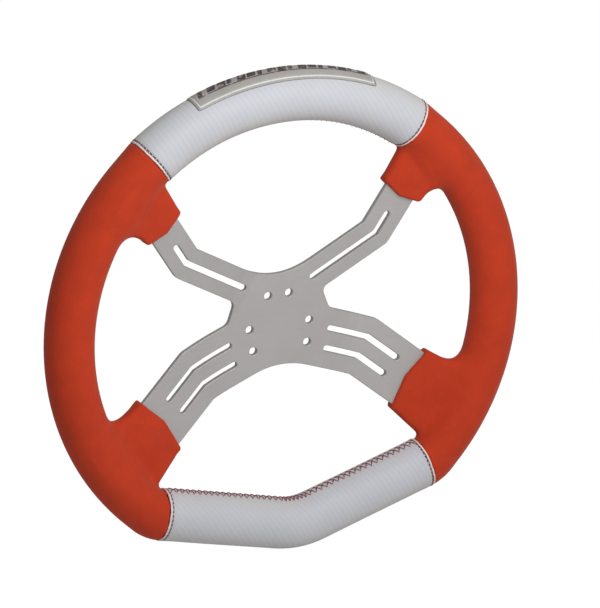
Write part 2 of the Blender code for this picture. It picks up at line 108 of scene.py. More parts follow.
# Covers and cords
SKIN_THICKNESS = 0.0012
VINYL_THICKNESS = 0.0022
FLARE = 0.001
FLARE_LENGTH = 0.017
JOINT_HALF_WIDTH = 0.0007
PIPING_RADIUS = 0.00065
PIPING_PATH_RADIUS = VINYL_RADIUS - 0.0004
PIPING_STEPS = 120
PIPING_SIDES = 12

# Threads. A stitch covers a share of its pitch, and its ends dive below the surface.
THREAD_RADIUS = 0.00033
THREAD_SIDES = 8
THREAD_TWIST = 0.0011
THREAD_END_SHARE = 0.45  # of the radius, at the ends
PLY_RELIEF = 0.16
OFF_EVERY_THREAD = (0.31, 0.87, 0.38)  # a direction that no thread follows
JOINT_THREAD_RADIUS = THREAD_RADIUS * 0.85
JOINT_STITCH_INSET = 0.0014
JOINT_STITCH_PITCH = 0.003
JOINT_STITCH_SHARE = 0.78
JOINT_STITCH_DIVE = 0.0008
JOINT_STITCH_HEIGHT = 0.00002
JOINT_STITCH_SLANT = 0.00012
LACING_THREAD_RADIUS = THREAD_RADIUS * 0.9
LACING_PITCH = 0.0043
LACING_DIVE = 0.0009
LACING_HEIGHTS = (THREAD_RADIUS * 0.9, THREAD_RADIUS * 2.6)  # of the lower and the upper thread
LACING_POINTS = 11
LACING_HALF_ANGLE = math.radians(11.5)
LACING_ANGLES = {"bottom": math.radians(178), "top": math.radians(192)}
REAR_SEAM_ANGLE = math.radians(-100)
REAR_STITCH_PITCH = 0.004
REAR_STITCH_SHARE = 0.8
REAR_STITCH_DIVE = 0.0007
REAR_STITCH_HEIGHT = 0.0002
REAR_SEAM_MARGIN = 0.004  # from a joint to the seam's end

# Relief of the vinyl, as (height, place, width) over the distance from a joint, seam or hole
VINYL_ROLL = 0.0011
JOINT_GROOVE = (-0.00035, JOINT_STITCH_INSET - JOINT_HALF_WIDTH, 0.0006)
JOINT_PUFF = (0.00012, 0.0042, 0.0022)
SEAM_GROOVE = (-0.0008, 0, 0.0006)
SEAM_PUFF = (0.00018, 0.0018, 0.0011)
HOLE_DIMPLE = (-0.00045, 0, 0.0008)
SLACK = 0.00009

# Rows of the vinyl's points beside a joint and from there on, and its columns beside the seam
ROWS_BY_JOINT = np.array((0, 0.00004, 0.00015, 0.00033, 0.0006, 0.0009, 0.0013, 0.0018, 0.0023,
                          0.0029, 0.0036))
ROW_STEP = 0.0009
COLUMNS_BY_SEAM = np.array((0, 0.010, 0.021, 0.034, 0.05, 0.07, 0.09, 0.115, 0.14, 0.165, 0.19,
                            0.215, 0.24, 0.28))
FAR_FROM_SEAM = 0.34
FAR_COLUMNS = 72

# Twill of the vinyl: the way across its ribs, and the pitches of ribs, yarns and fine ribs
RIB_NORMAL = (0.885, 0.465)
RIB_PITCH = 0.0034
YARN_PITCH = 0.0010
FINE_RIB_PITCH = 0.00085
RIB_WOBBLE = 0.0012

# Each spoke's axis turns at its kink, from the inner angle to the outer one, and the plate is
# folded forward past fold_start. The pad's corners and tip are distances past the kink.
UPPER_SPOKE = {
    "kink": np.array((0.0681, 0.0542)),
    "inner_angle": math.radians(31),
    "outer_angle": math.radians(58.3),
    "fold_start": 0.0358,
    "fold_slope": 0.172,
    "pad_corners": (0.0334, 0.0312),
    "pad_tip": 0.0289,
    "pad_half_width": 0.0152,
    "pad_flares": (math.radians(2.5), math.radians(13)),
    "open_side": -1,
}
LOWER_SPOKE = {
    "kink": np.array((0.0606, -0.0265)),
    "inner_angle": math.radians(-20.7),
    "outer_angle": math.radians(-41),
    "fold_start": 0.0536,
    "fold_slope": 0.15,
    "pad_corners": (0.0386, 0.0424),
    "pad_tip": 0.0368,
    "pad_half_width": 0.0234,
    "pad_flares": (math.radians(7), math.radians(6.7)),
    "open_side": 1,
}
COVER_END_BEND = 0.00035
PAD_THICKNESS = 0.010
PAD_CROWN = 0.0006
PAD_CROWN_REACH = 0.012  # from the pad's tip to its full crown
PAD_END = 0.004  # inside the rim's centreline
PAD_EDGE_BEND = 0.0012  # at the chevron end
PAD_SIDE_BEND = 0.0036
PAD_BEND_REACH = (0.003, 0.010)  # past the tip, from the end's bend to the sides'
PAD_CORNER_BEND = 0.0013
PAD_FILLETS = (0.004, 0.009, 0.0155)  # at the side by the joint, on the face, at the open side

# Grids that the suede's skin and its hollow core are meshed on, and the swelling of the pads
SUEDE_STEP = 0.002
SUEDE_MARGIN = 0.004
CORE_STEP = 0.0027
CORE_MARGIN = 0.012
CORE_OVERRUN = 0.01  # of the hollow, past each end of the cover
PLATE_CLEARANCE = 0.0002
SWELL_PRESSURE = 4
SWELL_FRAMES = 20
SWELL_FREE = 0.004  # points this near a pad are free to move
SWELL_LIMIT = 0.0008

# Badge
BADGE_HALF_LENGTH = RIM_RADIUS * math.radians(22.2)
BADGE_ANGLES = (math.radians(-20), math.radians(46))
BADGE_MIDDLE_ANGLE = sum(BADGE_ANGLES) / 2
BADGE_HALF_WIDTH = (BADGE_ANGLES[1] - BADGE_ANGLES[0]) / 2 * VINYL_RADIUS
BADGE_BORDER = 0.0012
BADGE_LINE = 0.0009
BADGE_INSET = BADGE_BORDER + BADGE_LINE

# Slabs of the badge: (inset, heights over the cover, edge's rounding, corners' bend)
BACKING_SLAB = (0, (-0.0001, 0.0007), 0.0006, 0.0022)
BORDER_SLAB = (BADGE_BORDER, (0.0004, 0.0009), 0.0002, 0.0016)
FIELD_SLAB = (BADGE_INSET, (0.0006, 0.0011), 0.0002, 0.0012)
BADGE_BARS = 17
BADGE_BAR_SLANT = 0.35
BADGE_BAR_HEIGHTS = (0.0010, 0.00125)
BADGE_BAR_MARGIN = 0.003

# Colours
SUEDE_RED = (0.51, 0.042, 0.012)
# Vinyl colours with painted light: a bluish painted highlight tint where it faces the eye, and a lighter
# warm grey painted bounce light where it turns away
VINYL_FACING_PAINTED_HIGHLIGHT = (0.545, 0.554, 0.59)
VINYL_TURNING_PAINTED_BOUNCE = (0.62, 0.605, 0.58)
PIPING_WHITE = (0.84, 0.70, 0.68)
PIPING_STAIN = (0.80, 0.60, 0.57)
PLATE_GREY = (0.48, 0.465, 0.455)
SCRATCH_GREY = (0.75, 0.75, 0.75)
HOOP_GREY = (0.6, 0.6, 0.61)
FOAM_DARK = (0.02, 0.02, 0.022)
FOAM_LIGHT = (0.045, 0.045, 0.048)
THREAD_MAROON = (0.10, 0.012, 0.024)
LACING_MAROON = (0.24, 0.03, 0.045)
THREAD_RED = (0.40, 0.035, 0.02)
BADGE_SILVER = (0.66, 0.655, 0.645)
BADGE_GREY = (0.375, 0.362, 0.345)
PRINT_DARK = (0.05, 0.035, 0.037)
PRINT_WORN = (0.10, 0.06, 0.06)
PRINT_PINK = (0.42, 0.33, 0.32)
WHITE = (1.0, 1.0, 1.0)
BLACK = (0.0, 0.0, 0.0)

# Stage
FLOOR_SIZE = 30
FLOOR_GAP = 0.0004
FLOOR_DARK = (0.70, 0.70, 0.705)
FLOOR_LIGHT = (0.74, 0.74, 0.745)
FLOOR_GLOW = 1.09
FLOOR_GLOW_SHARE = 0.9
SKY_COLOUR = (0.98, 0.99, 1.0)
SKY_STRENGTH = 0.38
KEY_PLACE = (0.04, -0.6, 0.44)
KEY_SIZE = 0.5
KEY_POWER = 4.2

# Camera
CAMERA_AZIMUTH = math.radians(24.6)
CAMERA_ELEVATION = math.radians(18.05)
CAMERA_ROLL = math.radians(1.76)
CAMERA_DISTANCE = 1.965
CAMERA_TARGET = (0.0156, -0.0034, 0.0104)
CAMERA_LENS = 175.1
CAMERA_SENSOR = 36


# Places on the rim


def direction(angle):
    return np.stack((np.cos(angle), np.sin(angle)), -1)


def around(angles, middle):
    """The angles counted from middle, within half a turn."""
    return np.remainder(angles - middle + math.pi, 2 * math.pi) - math.pi


def arc(centre, radius, start, turn):
    """(length, place, nearest) of an arc. place maps a length along it to the point and outward
    normal there, and nearest maps points to the length at which the arc is nearest."""

    def place(length):
        outward = direction(start + length / radius)
        return centre + outward * radius, outward

    def nearest(points):
        towards = points - centre
        turned = around(np.arctan2(towards[:, 1], towards[:, 0]), start + turn / 2) + turn / 2
        return radius * np.clip(turned, 0, turn)

    return radius * turn, place, nearest


def straight(start, along, whole):
    def place(length):
        outward = np.broadcast_to((along[1], -along[0]), length.shape + (2,))
        return start + along * length[..., None], outward

    def nearest(points):
        return np.clip((points - start) @ along, 0, whole)

    return whole, place, nearest


def right_half_of_rim():
    """The stretches of the centreline, from the bottom vertex to the top, and the length at which
    the lower joint is."""
    vertex_centre = np.array((0, VERTEX_Z + VERTEX_BEND))
    joint = np.array((BOTTOM_JOINT.x, BOTTOM_JOINT.z)) - vertex_centre
    to_joint = math.sqrt(joint @ joint - VERTEX_BEND**2)
    slope = math.atan2(joint[1], joint[0]) + math.atan2(VERTEX_BEND, to_joint)
    along = direction(slope)
    inward = np.array((-along[1], along[0]))
    start = vertex_centre - inward * VERTEX_BEND
    offset = start + inward * CORNER_BEND - RIM_CENTRE
    half = offset @ along
    length = -half + math.sqrt(half**2 - offset @ offset + (RIM_RADIUS - CORNER_BEND) ** 2)
    corner_centre = start + along * length + inward * CORNER_BEND
    corner_end = math.atan2(*(corner_centre - RIM_CENTRE)[::-1])
    corner_start = slope - math.pi / 2
    stretches = (
        arc(vertex_centre, VERTEX_BEND, -math.pi / 2, slope),
        straight(start, along, length),
        arc(corner_centre, CORNER_BEND, corner_start, corner_end - corner_start),
        arc(RIM_CENTRE, RIM_RADIUS, corner_end, math.pi / 2 - corner_end),
    )
    return stretches, VERTEX_BEND * slope + to_joint


RIM_STRETCHES, LOWER_JOINT_LENGTH = right_half_of_rim()
HALF_LENGTH = sum(length for length, place, nearest in RIM_STRETCHES)
TOP_JOINT_ANGLE = math.atan2(TOP_JOINT.x, TOP_JOINT.z - RIM_CENTRE[1])
UPPER_JOINT_LENGTH = HALF_LENGTH - RIM_RADIUS * TOP_JOINT_ANGLE
VINYL_COVERS = {
    "bottom": (-LOWER_JOINT_LENGTH, LOWER_JOINT_LENGTH),
    "top": (UPPER_JOINT_LENGTH, 2 * HALF_LENGTH - UPPER_JOINT_LENGTH),
}


def rim_at(lengths):
    """The centreline's points and outward normals. A length past the top carries on down the left."""
    wrapped = np.remainder(lengths + HALF_LENGTH, 2 * HALF_LENGTH) - HALF_LENGTH
    left = np.abs(wrapped)
    points, outwards = RIM_STRETCHES[0][1](left)
    start = 0.0
    for length, place, nearest in RIM_STRETCHES:
        here = (left >= start)[..., None]
        found_points, found_outwards = place(left - start)
        points = np.where(here, found_points, points)
        outwards = np.where(here, found_outwards, outwards)
        start += length
    side = np.stack((np.where(wrapped < 0, -1.0, 1.0), np.ones_like(left)), -1)
    return points * side, outwards * side


def on_section(lengths, angles, radii):
    lengths, angles, radii = np.broadcast_arrays(lengths, angles, radii)
    points, outwards = rim_at(lengths)
    flat = points + outwards * (radii * np.cos(angles))[..., None]
    return np.stack((flat[..., 0], RIM_Y - radii * np.sin(angles), flat[..., 1]), -1)


def rim_coordinates(points):
    """(length, distance outwards in the rim's plane) of points on the right-hand side."""
    flat = points[:, ::2]
    best = np.full(len(flat), np.inf)
    lengths = np.zeros(len(flat))
    offsets = np.zeros(len(flat))
    start = 0.0
    for length, place, nearest in RIM_STRETCHES:
        along = nearest(flat)
        centre, outward = place(along)
        gap = flat - centre
        distance = (gap**2).sum(-1)
        closer = distance < best
        best = np.where(closer, distance, best)
        beyond = gap[:, 1] * outward[:, 0] - gap[:, 0] * outward[:, 1]
        lengths = np.where(closer, start + along + beyond, lengths)
        offsets = np.where(closer, (gap * outward).sum(-1), offsets)
        start += length
    return lengths, offsets


# Meshes


def new_object(name, data):
    obj = bpy.data.objects.new(name, data)
    bpy.context.scene.collection.objects.link(obj)
    return obj


def add_piece(name, mesh, material, replaced=()):
    """A finished piece of the wheel, which stands for the replaced CAD nodes."""
    obj = new_object(name, mesh)
    mesh.materials.clear()
    mesh.materials.append(material)
    mesh.shade_smooth()
    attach(obj, "root")
    if replaced:
        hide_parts(*replaced)
    return obj


def new_mesh(name, points, faces):
    mesh = bpy.data.meshes.new(name)
    mesh.from_pydata(np.asarray(points).reshape(-1, 3).tolist(), [], np.asarray(faces).tolist())
    return mesh


def grid_faces(rows, columns, close_rows=False):
    """Quads between rows of points, each row a closed ring."""
    row = np.arange(rows if close_rows else rows - 1)[:, None]
    column = np.arange(columns)[None, :]
    following = (row + 1) % rows
    beside = (column + 1) % columns
    corners = (row * columns + column, row * columns + beside,
               following * columns + beside, following * columns + column)
    return np.stack(np.broadcast_arrays(*corners), -1).reshape(-1, 4)


def mirrored_mesh(mesh, name):
    copy = mesh.copy()
    copy.name = name
    copy.transform(Matrix.Scale(-1, 4, Vector((1, 0, 0))))
    copy.flip_normals()
    return copy


def set_cloth_coordinates(mesh, coordinates):
    """Stores each face corner's place on the unrolled cover, in metres, for the weave."""
    layer = mesh.attributes.new("cloth", "FLOAT_VECTOR", "CORNER")
    layer.data.foreach_set("vector", np.asarray(coordinates, np.float32).ravel())


def relief(distance, shape):
    """A rounded ridge, or a groove if its height is negative."""
    height, place, width = shape
    return height * np.exp(-(((distance - place) / width) ** 2))


def strands(name, paths, radius, material, replaced):
    """Two-ply threads along the paths, each an array of points."""
    sides = THREAD_SIDES
    turns = np.arange(sides) * 2 * math.pi / sides
    points = []
    faces = []
    for path in paths:
        count = len(path)
        tangents = np.gradient(path, axis=0)
        tangents /= np.linalg.norm(tangents, axis=1)[:, None]
        sideways = np.cross(tangents, OFF_EVERY_THREAD)
        sideways /= np.linalg.norm(sideways, axis=1)[:, None]
        upwards = np.cross(tangents, sideways)
        steps = np.linalg.norm(np.diff(path, axis=0), axis=1)
        travelled = np.concatenate(((0,), np.cumsum(steps)))
        plies = np.cos(2 * turns[None, :] + 2 * math.pi * travelled[:, None] / THREAD_TWIST)
        ends = np.minimum(np.arange(count), np.arange(count)[::-1])
        taper = np.where(ends == 0, THREAD_END_SHARE, 1.0)
        reach = radius * (1 + PLY_RELIEF * plies) * taper[:, None]
        ring = (sideways[:, None] * np.cos(turns)[None, :, None]
                + upwards[:, None] * np.sin(turns)[None, :, None])
        first = sum(len(block) for block in points)
        points.append((path[:, None] + ring * reach[..., None]).reshape(-1, 3))
        faces += (grid_faces(count, sides) + first).tolist()
        faces.append(list(range(first + sides - 1, first - 1, -1)))
        last = first + (count - 1) * sides
        faces.append(list(range(last, last + sides)))
    mesh = bpy.data.meshes.new(name)
    mesh.from_pydata(np.concatenate(points).tolist(), [], faces)
    outward_normals(mesh)
    return add_piece(name, mesh, material, replaced)


def outward_normals(mesh):
    edit = bmesh.new()
    edit.from_mesh(mesh)
    bmesh.ops.recalc_face_normals(edit, faces=edit.faces)
    edit.to_mesh(mesh)
    edit.free()


# Materials


def add_node(tree, kind, inputs=None, **settings):
    node = tree.nodes.new("ShaderNode" + kind)
    for name, value in settings.items():
        setattr(node, name, value)
    for socket, value in (inputs or {}).items():
        if isinstance(value, bpy.types.NodeSocket):
            tree.links.new(value, node.inputs[socket])
        else:
            node.inputs[socket].default_value = value
    return node


def new_material(name, inputs):
    """A material whose shader has these inputs."""
    material = bpy.data.materials.new(name)
    material.use_nodes = True
    shader = material.node_tree.nodes["Principled BSDF"]
    for socket, value in inputs.items():
        shader.inputs[socket].default_value = value
    return material, material.node_tree, shader


def noise(tree, scale, detail=3.0, coordinates=None, roughness=0.55):
    inputs = {"Scale": scale, "Detail": detail, "Roughness": roughness}
    inputs["Vector"] = coordinates or add_node(tree, "TexCoord").outputs["Object"]
    return add_node(tree, "TexNoise", inputs).outputs["Fac"]


def mapped(tree, scale, turn=0.0):
    """The object's coordinates, stretched and turned round Y."""
    place = add_node(tree, "TexCoord").outputs["Object"]
    inputs = {"Vector": place, "Scale": scale, "Rotation": (0, turn, 0)}
    return add_node(tree, "Mapping", inputs).outputs["Vector"]


def ramp(tree, value, *stops):
    """A colour ramp over (position, colour) stops."""
    node = add_node(tree, "ValToRGB", {"Fac": value})
    elements = node.color_ramp.elements
    for element, (position, colour) in zip(elements, (stops[0], stops[-1])):
        element.position = position
        element.color = (*colour, 1)
    for position, colour in stops[1:-1]:
        elements.new(position).color = (*colour, 1)
    return node.outputs["Color"]


def scaled(colour, factor):
    return tuple(min(1.0, part * factor) for part in colour)


def maths(tree, operation, first, second=0.0):
    return add_node(tree, "Math", {0: first, 1: second}, operation=operation).outputs[0]


def plus(tree, first, second):
    return maths(tree, "ADD", first, second)


def times(tree, first, second):
    return maths(tree, "MULTIPLY", first, second)


def mixed(tree, factor, first, second, blend_type="MIX"):
    node = add_node(tree, "Mix", data_type="RGBA", blend_type=blend_type)
    values = {("Factor", "VALUE"): factor, ("A", "RGBA"): first, ("B", "RGBA"): second}
    for socket in node.inputs:
        value = values.get((socket.name, socket.type))
        if isinstance(value, bpy.types.NodeSocket):
            tree.links.new(value, socket)
        elif value is not None:
            socket.default_value = (*value, 1) if socket.type == "RGBA" else value
    return next(output for output in node.outputs if output.type == "RGBA")


def varied(tree, value, low, high):
    """The value, from 0 to 1, turned into the range from low to high."""
    inputs = {"Value": value, "To Min": low, "To Max": high}
    return add_node(tree, "MapRange", inputs).outputs["Result"]


def bump(tree, height, distance, strength=1.0, normal=None):
    inputs = {"Height": height, "Distance": distance, "Strength": strength}
    if normal:
        inputs["Normal"] = normal
    return add_node(tree, "Bump", inputs).outputs["Normal"]


def feed(tree, shader, colour, roughness, normal):
    """Links the shader's colour, roughness and normal."""
    for socket, value in (("Base Color", colour), ("Roughness", roughness), ("Normal", normal)):
        tree.links.new(value, shader.inputs[socket])


def suede_material():
    inputs = {"Specular IOR Level": 0.2, "Sheen Weight": 0.3, "Sheen Roughness": 0.4,
              "Sheen Tint": (1.0, 0.45, 0.36, 1)}
    material, tree, shader = new_material("red_suede", inputs)
    nap = noise(tree, 1500, 4, roughness=0.7)
    brushed = noise(tree, 80, 3)
    cloudy = noise(tree, 18, 2)
    base = ramp(tree, brushed, (0.3, scaled(SUEDE_RED, 0.93)), (0.72, scaled(SUEDE_RED, 1.06)))
    grain = ramp(tree, nap, (0.3, scaled(WHITE, 0.8)), (0.7, WHITE))
    colour = mixed(tree, 0.6, base, grain, "MULTIPLY")
    patches = ramp(tree, cloudy, (0.35, (0.95, 0.93, 0.92)), (0.65, WHITE))
    colour = mixed(tree, 0.7, colour, patches, "MULTIPLY")
    fibres = noise(tree, 3200, 2)
    height = plus(tree, times(tree, nap, 0.7), times(tree, fibres, 0.3))
    normal = bump(tree, brushed, 0.0004, 0.2)
    normal = bump(tree, height, 0.0003, 0.6, normal)
    feed(tree, shader, colour, varied(tree, brushed, 0.82, 0.96), normal)
    return material


def vinyl_material():
    """Pearl vinyl over twill, with painted light: a bluish painted highlight tint where it faces the eye,
    and a lighter warm grey painted bounce light where it turns away.
    """
    inputs = {"Specular IOR Level": 0.2, "Sheen Weight": 0.05}
    material, tree, shader = new_material("silver_vinyl", inputs)
    cloth = add_node(tree, "Attribute", attribute_name="cloth")
    split = add_node(tree, "SeparateXYZ", {"Vector": cloth.outputs["Vector"]})
    right, up = split.outputs["X"], split.outputs["Y"]
    wobble = times(tree, noise(tree, 45, 2), RIB_WOBBLE)
    more, less = RIB_NORMAL
    across = plus(tree, times(tree, right, more), times(tree, up, less))
    along = maths(tree, "SUBTRACT", times(tree, right, less), times(tree, up, more))
    across = plus(tree, across, wobble)
    ribs = maths(tree, "SINE", times(tree, across, 2 * math.pi / RIB_PITCH))
    yarns = maths(tree, "SINE", times(tree, along, 2 * math.pi / YARN_PITCH))
    fine_ribs = maths(tree, "SINE", times(tree, across, 2 * math.pi / FINE_RIB_PITCH))
    weave = plus(tree, times(tree, ribs, 0.6), times(tree, times(tree, yarns, fine_ribs), 0.16))
    weave = varied(tree, weave, 0.5, 1.0)
    # Painted light: the colour goes from a bluish painted highlight tint facing the eye to a lighter warm
    # grey painted bounce light at grazing angles
    painted_light_by_facing = add_node(tree, "LayerWeight", {"Blend": 0.5}).outputs["Facing"]
    base = ramp(tree, painted_light_by_facing, (0.12, VINYL_FACING_PAINTED_HIGHLIGHT), (0.7, VINYL_TURNING_PAINTED_BOUNCE))
    pearl = ramp(tree, noise(tree, 35, 3), (0.3, (0.965, 0.965, 0.965)), (0.7, WHITE))
    base = mixed(tree, 1.0, base, pearl, "MULTIPLY")
    shade = ramp(tree, weave, (0.0, (0.865, 0.87, 0.88)), (1.0, WHITE))
    colour = mixed(tree, 1.0, base, shade, "MULTIPLY")
    speck = ramp(tree, noise(tree, 2600, 2), (0.35, (0.92, 0.92, 0.92)), (0.65, WHITE))
    colour = mixed(tree, 0.5, colour, speck, "MULTIPLY")
    normal = bump(tree, weave, 0.00012, 0.6)
    normal = bump(tree, noise(tree, 1800, 3), 0.00006, 0.4, normal)
    feed(tree, shader, colour, varied(tree, weave, 0.58, 0.48), normal)
    return material


def thread_material(name, colour):
    material, tree, shader = new_material(name, {"Sheen Weight": 0.2})
    fuzz = noise(tree, 2400, 3)
    colours = ramp(tree, fuzz, (0.3, scaled(colour, 0.7)), (0.7, scaled(colour, 1.3)))
    feed(tree, shader, colours, varied(tree, fuzz, 0.48, 0.75), bump(tree, fuzz, 0.00012, 0.7))
    return material


def piping_material():
    material, tree, shader = new_material("white_piping", {})
    creases = noise(tree, 700, 4)
    stain = noise(tree, 120, 2)
    base = ramp(tree, stain, (0.35, PIPING_STAIN), (0.6, PIPING_WHITE))
    grain = ramp(tree, creases, (0.35, (0.88, 0.88, 0.88)), (0.65, WHITE))
    feed(tree, shader, mixed(tree, 0.6, base, grain, "MULTIPLY"),
         varied(tree, creases, 0.42, 0.6), bump(tree, creases, 0.00015, 0.5))
    return material


def plate_material():
    material, tree, shader = new_material("anodised_aluminium", {"Metallic": 0.6})
    rolled = noise(tree, 1, 4, mapped(tree, (30, 1, 1500)))
    grain = noise(tree, 2200, 3)
    cloudy = noise(tree, 28, 3)
    normal = add_node(tree, "NewGeometry").outputs["True Normal"]
    facing = add_node(tree, "SeparateXYZ", {"Vector": normal}).outputs["Y"]
    face = ramp(tree, maths(tree, "ABSOLUTE", facing), (0.35, BLACK), (0.6, WHITE))
    tone = ramp(tree, cloudy, (0.3, scaled(PLATE_GREY, 0.965)), (0.7, scaled(PLATE_GREY, 1.03)))
    rolling = ramp(tree, rolled, (0.3, (0.95, 0.95, 0.95)), (0.7, WHITE))
    tone = mixed(tree, 1.0, tone, rolling, "MULTIPLY")
    sawn = noise(tree, 1, 3, mapped(tree, (900, 40, 900)))
    edge = ramp(tree, sawn, (0.3, scaled(PLATE_GREY, 0.8)), (0.7, PLATE_GREY))
    scratches = noise(tree, 1, 2, mapped(tree, (14, 1, 420), 0.7))
    scratches = ramp(tree, scratches, (0.72, BLACK), (0.76, WHITE))
    tone = mixed(tree, times(tree, scratches, 0.10), tone, SCRATCH_GREY)
    height = mixed(tree, face, sawn, rolled)
    normal = bump(tree, height, 0.00006, 0.5)
    normal = bump(tree, grain, 0.00004, 0.35, normal)
    feed(tree, shader, mixed(tree, face, edge, tone), varied(tree, rolled, 0.46, 0.6), normal)
    return material


def hoop_material():
    material, tree, shader = new_material("hoop_aluminium", {"Metallic": 0.95})
    grain = noise(tree, 900, 4)
    feed(tree, shader, ramp(tree, grain, (0.3, scaled(HOOP_GREY, 0.8)), (0.7, HOOP_GREY)),
         varied(tree, grain, 0.3, 0.5), bump(tree, grain, 0.0001, 0.4))
    return material


def foam_material():
    material, tree, shader = new_material("moulded_foam", {"Roughness": 0.85})
    place = add_node(tree, "TexCoord").outputs["Object"]
    cells = add_node(tree, "TexVoronoi", {"Vector": place, "Scale": 900}).outputs["Distance"]
    skin = noise(tree, 160, 3)
    tree.links.new(ramp(tree, skin, (0.3, FOAM_DARK), (0.7, FOAM_LIGHT)), shader.inputs["Base Color"])
    tree.links.new(bump(tree, cells, 0.0003, 0.5), shader.inputs["Normal"])
    return material


def badge_material(name, colour, roughness):
    material, tree, shader = new_material(name, {"Specular IOR Level": 0.25})
    flake = noise(tree, 1900, 3)
    cloudy = noise(tree, 70, 3)
    base = ramp(tree, flake, (0.3, scaled(colour, 0.86)), (0.7, scaled(colour, 1.1)))
    soil = ramp(tree, cloudy, (0.35, (0.93, 0.92, 0.9)), (0.65, WHITE))
    feed(tree, shader, mixed(tree, 0.8, base, soil, "MULTIPLY"),
         varied(tree, cloudy, roughness - 0.05, roughness + 0.12), bump(tree, flake, 0.00004, 0.5))
    return material


def badge_print_material():
    """Dark print that fades in places to a dusty pink."""
    material, tree, shader = new_material("badge_print", {})
    worn = noise(tree, 260, 3)
    colours = ramp(tree, worn, (0.4, PRINT_DARK), (0.55, PRINT_WORN), (0.68, PRINT_PINK))
    feed(tree, shader, colours,
         varied(tree, worn, 0.45, 0.65), bump(tree, noise(tree, 1900, 3), 0.00004, 0.5))
    return material


# Suede covers


def smooth_union(first, second, reach):
    overlap = np.maximum(reach - np.abs(first - second), 0) / reach
    return np.minimum(first, second) - overlap**2 * reach / 4


def rounded_meeting(first, second, bend):
    """The distance to the space inside both surfaces, with their edge rounded."""
    outside = np.hypot(np.maximum(first + bend, 0), np.maximum(second + bend, 0))
    return outside + np.minimum(np.maximum(first, second) + bend, 0) - bend


def pad_outline(spoke, along, across):
    """The distance outside the pad's outline, from its chevron end and its flared sides."""
    ends = []
    sides = []
    for side, corner, flare in zip((1, -1), spoke["pad_corners"], spoke["pad_flares"]):
        edge = np.array((corner - spoke["pad_tip"], side * spoke["pad_half_width"]))
        edge /= np.linalg.norm(edge)
        out = np.array((-abs(edge[1]), side * edge[0]))
        ends.append((along - spoke["pad_tip"]) * out[0] + across * out[1])
        reach = np.array((along - corner, across * side - spoke["pad_half_width"]))
        sides.append(reach[1] * math.cos(flare) - reach[0] * math.sin(flare))
    return rounded_meeting(np.maximum(*ends), np.maximum(*sides), PAD_CORNER_BEND)


def pad_distance(spoke, points):
    """(distance to the pad's surface, place across it from -1 to 1)."""
    flat = points[:, ::2] - spoke["kink"]
    out = direction(spoke["outer_angle"])
    along = flat @ out
    across = flat @ np.array((-out[1], out[0]))
    rise = spoke["fold_slope"] * (points[:, ::2] @ direction(spoke["inner_angle"]) - spoke["fold_start"])
    height = np.abs(-points[:, 1] - PLATE_THICKNESS / 2 - rise)
    width = np.clip(across / spoke["pad_half_width"], -1, 1)
    crown = PAD_CROWN * (1 - width**2) * np.clip((along - spoke["pad_tip"]) / PAD_CROWN_REACH, 0, 1)
    outline = pad_outline(spoke, along, across)
    past_tip = along - spoke["pad_tip"]
    bend = np.interp(past_tip, PAD_BEND_REACH, (PAD_EDGE_BEND, PAD_SIDE_BEND))
    return rounded_meeting(outline, height - PAD_THICKNESS / 2 - crown, bend), width


def suede_distance(start, end, flare=0.0):
    """Measures points against the right-hand cover between two lengths, with its pads. The cover
    thickens by flare towards its joints."""

    def distance(points):
        lengths, offsets = rim_coordinates(points)
        to_joint = np.minimum(lengths - LOWER_JOINT_LENGTH, UPPER_JOINT_LENGTH - lengths)
        rise = flare * (1 - np.clip(to_joint / FLARE_LENGTH, 0, 1)) ** 2
        rim = np.hypot(offsets, points[:, 1] - RIM_Y) - SUEDE_RADIUS - rise
        ends = np.maximum(start - lengths, lengths - end)
        cover = rounded_meeting(rim, ends, COVER_END_BEND)
        for spoke in (UPPER_SPOKE, LOWER_SPOKE):
            pad, width = pad_distance(spoke, points)
            pad = np.maximum(pad, offsets + PAD_END)
            fillet = np.interp(width * spoke["open_side"], (-1, -0.3, 1), PAD_FILLETS)
            cover = smooth_union(cover, pad, fillet)
        return cover

    return distance


def surface_of(distance, low, high, step):
    """The points and quads of a closed surface, one point in each grid cell that it crosses."""
    counts = np.ceil((high - low) / step).astype(int) + 1
    axes = [low[i] + step * np.arange(counts[i]) for i in range(3)]
    grid = np.stack(np.meshgrid(*axes, indexing="ij"), -1)
    inside = (distance(grid.reshape(-1, 3)) < 0).reshape(counts)
    corners = sum(
        inside[i : counts[0] - 1 + i, j : counts[1] - 1 + j, k : counts[2] - 1 + k].astype(int)
        for i in (0, 1) for j in (0, 1) for k in (0, 1)
    )
    crossed = (corners > 0) & (corners < 8)
    numbers = np.full(crossed.shape, -1)
    numbers[crossed] = np.arange(crossed.sum())
    points = np.argwhere(crossed) * step + low + step / 2
    faces = []
    for axis in range(3):
        ahead = np.roll(inside, -1, axis)
        for leaving in (True, False):
            edges = np.argwhere((inside != ahead) & (inside == leaving))
            one, two = np.eye(3, dtype=int)[[(axis + 1) % 3, (axis + 2) % 3]]
            ring = (edges, edges - one, edges - one - two, edges - two)
            quads = np.stack([numbers[tuple(cells.T)] for cells in ring], -1)
            faces.append(quads[:, ::-1] if not leaving else quads)
    return points, np.concatenate(faces)


def slope_of(distance, points, step=0.00005):
    """The distance at each point, and the way it grows fastest."""
    here = distance(points)
    slopes = [(distance(points + step * axis) - here) / step for axis in np.eye(3)]
    return here, np.stack(slopes, -1)


def settle(distance, points, rounds=4):
    """Moves the points onto the surface."""
    for _ in range(rounds):
        here, slopes = slope_of(distance, points)
        points = points - slopes * (here / np.maximum((slopes**2).sum(-1), 0.3))[:, None]
    return points


def relaxed(points, faces, rounds=3):
    """Each point drawn towards the middle of its neighbours, to even out the quads."""
    ends = np.concatenate([faces[:, [i, (i + 1) % 4]] for i in range(4)])
    ends = np.unique(np.sort(ends, 1), axis=0)
    for _ in range(rounds):
        total = np.zeros_like(points)
        count = np.zeros(len(points))
        for one, other in (ends.T, ends.T[::-1]):
            np.add.at(total, one, points[other])
            np.add.at(count, one, 1)
        points = (points + total / count[:, None]) / 2
    return points


